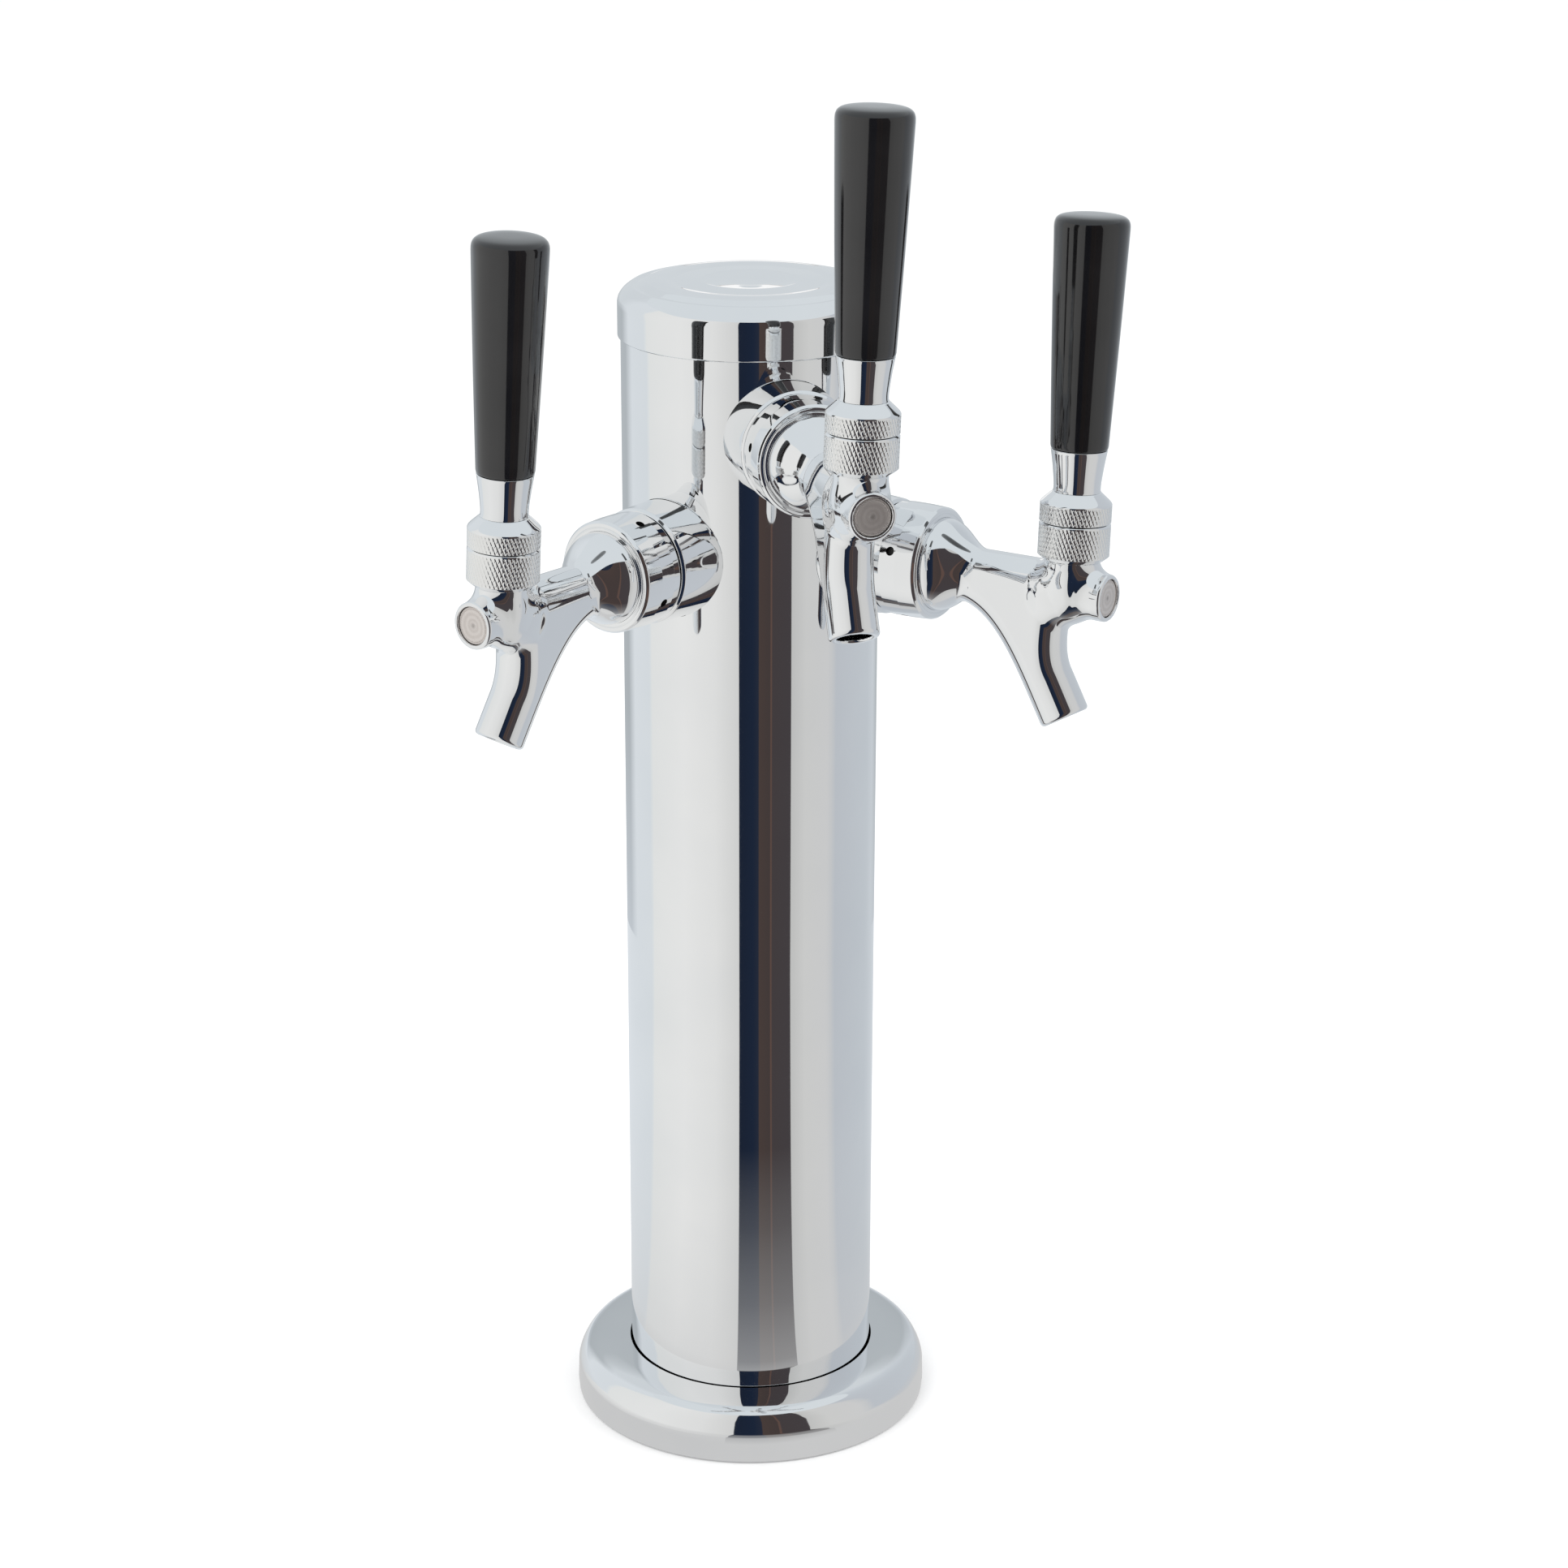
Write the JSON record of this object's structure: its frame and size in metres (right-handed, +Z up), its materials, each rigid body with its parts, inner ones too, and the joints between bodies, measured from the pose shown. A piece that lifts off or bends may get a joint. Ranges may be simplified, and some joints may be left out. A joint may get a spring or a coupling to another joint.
{
  "type": "beer tap tower",
  "caption": "Chrome draught beer tower: a domed round column on a flanged foot, with lever faucets fanned round its front.",
  "frame": {"origin": "middle of the bounding box, on the surface that the tower stands on", "axes": "+Z up along the column, -Y towards the drinker's side where the faucets point, +X to the right of somebody facing the faucets"},
  "size_m": [0.1893, 0.1759, 0.4245],
  "materials": {
    "chrome": "mirror-polished chrome plating",
    "knurled_chrome": "diamond-knurled chrome, satin",
    "turned_steel": "flat pressed disc with turning marks",
    "plain_steel": "machined stainless steel",
    "zinc_plate": "zinc-plated steel",
    "brass": "machined brass",
    "black_grip": "high-gloss black moulding",
    "rubber": "matt black rubber",
    "nylon": "off-white nylon",
    "foam": "grey closed-cell insulation"
  },
  "bodies": {
    "root": {"column_tube": "chrome", "column_cap": "chrome", "base_flange": "chrome", "base_plate": "zinc_plate", "base_gasket": "rubber", "insulation_sleeve": "foam", "shank_left": "plain_steel", "shank_collar_left": "chrome", "saddle_washer_left": "nylon", "lock_nut_left": "brass", "tail_elbow_left": "plain_steel", "coupling_washer_left": "rubber", "coupling_nut_left": "chrome", "faucet_body_left": "chrome", "front_plug_left": "turned_steel", "ball_seat_left": "nylon", "friction_washer_left": "rubber", "bonnet_left": "knurled_chrome", "shank_centre": "plain_steel", "shank_collar_centre": "chrome", "saddle_washer_centre": "nylon", "lock_nut_centre": "brass", "tail_elbow_centre": "plain_steel", "coupling_washer_centre": "rubber", "coupling_nut_centre": "chrome", "faucet_body_centre": "chrome", "front_plug_centre": "turned_steel", "ball_seat_centre": "nylon", "friction_washer_centre": "rubber", "bonnet_centre": "knurled_chrome", "shank_right": "plain_steel", "shank_collar_right": "chrome", "saddle_washer_right": "nylon", "lock_nut_right": "brass", "tail_elbow_right": "plain_steel", "coupling_washer_right": "rubber", "coupling_nut_right": "chrome", "faucet_body_right": "chrome", "front_plug_right": "turned_steel", "ball_seat_right": "nylon", "friction_washer_right": "rubber", "bonnet_right": "knurled_chrome"},
    "handle_left": {"lever_left": "plain_steel", "lever_collar_left": "knurled_chrome", "ferrule_left": "chrome", "grip_left": "black_grip"},
    "valve_left": {"valve_shaft_left": "plain_steel", "shaft_seal_left": "rubber"},
    "handle_centre": {"lever_centre": "plain_steel", "lever_collar_centre": "knurled_chrome", "ferrule_centre": "chrome", "grip_centre": "black_grip"},
    "valve_centre": {"valve_shaft_centre": "plain_steel", "shaft_seal_centre": "rubber"},
    "handle_right": {"lever_right": "plain_steel", "lever_collar_right": "knurled_chrome", "ferrule_right": "chrome", "grip_right": "black_grip"},
    "valve_right": {"valve_shaft_right": "plain_steel", "shaft_seal_right": "rubber"}
  },
  "joints": [
    {"name": "lever_tilt_left", "type": "hinge", "parent": "root", "child": "handle_left", "pos_m": [-0.08085, -0.04008, 0.29318], "axis": [0.6654, -0.7442, -0.0593], "range_deg": [0, 28]},
    {"name": "valve_slide_left", "type": "slide", "parent": "root", "child": "valve_left", "axis": [0.7455, 0.6665, 0], "range_m": [0, 0.005]},
    {"name": "lever_tilt_centre", "type": "hinge", "parent": "root", "child": "handle_centre", "pos_m": [0.01254, -0.0749, 0.32999], "axis": [0.9925, 0.1183, -0.0314], "range_deg": [0, 28]},
    {"name": "valve_slide_centre", "type": "slide", "parent": "root", "child": "valve_centre", "axis": [-0.1184, 0.993, 0], "range_m": [0, 0.005]},
    {"name": "lever_tilt_right", "type": "hinge", "parent": "root", "child": "handle_right", "pos_m": [0.08048, -0.03916, 0.29318], "axis": [0.6654, 0.7442, -0.0593], "range_deg": [0, 28]},
    {"name": "valve_slide_right", "type": "slide", "parent": "root", "child": "valve_right", "axis": [-0.7455, 0.6665, 0], "range_m": [0, 0.005]}
  ],
  "couplings": [
    {"joint": "valve_slide_left", "follows": "lever_tilt_left", "m_per_rad": 0.01009},
    {"joint": "valve_slide_centre", "follows": "lever_tilt_centre", "m_per_rad": 0.01009},
    {"joint": "valve_slide_right", "follows": "lever_tilt_right", "m_per_rad": 0.01009}
  ]
}
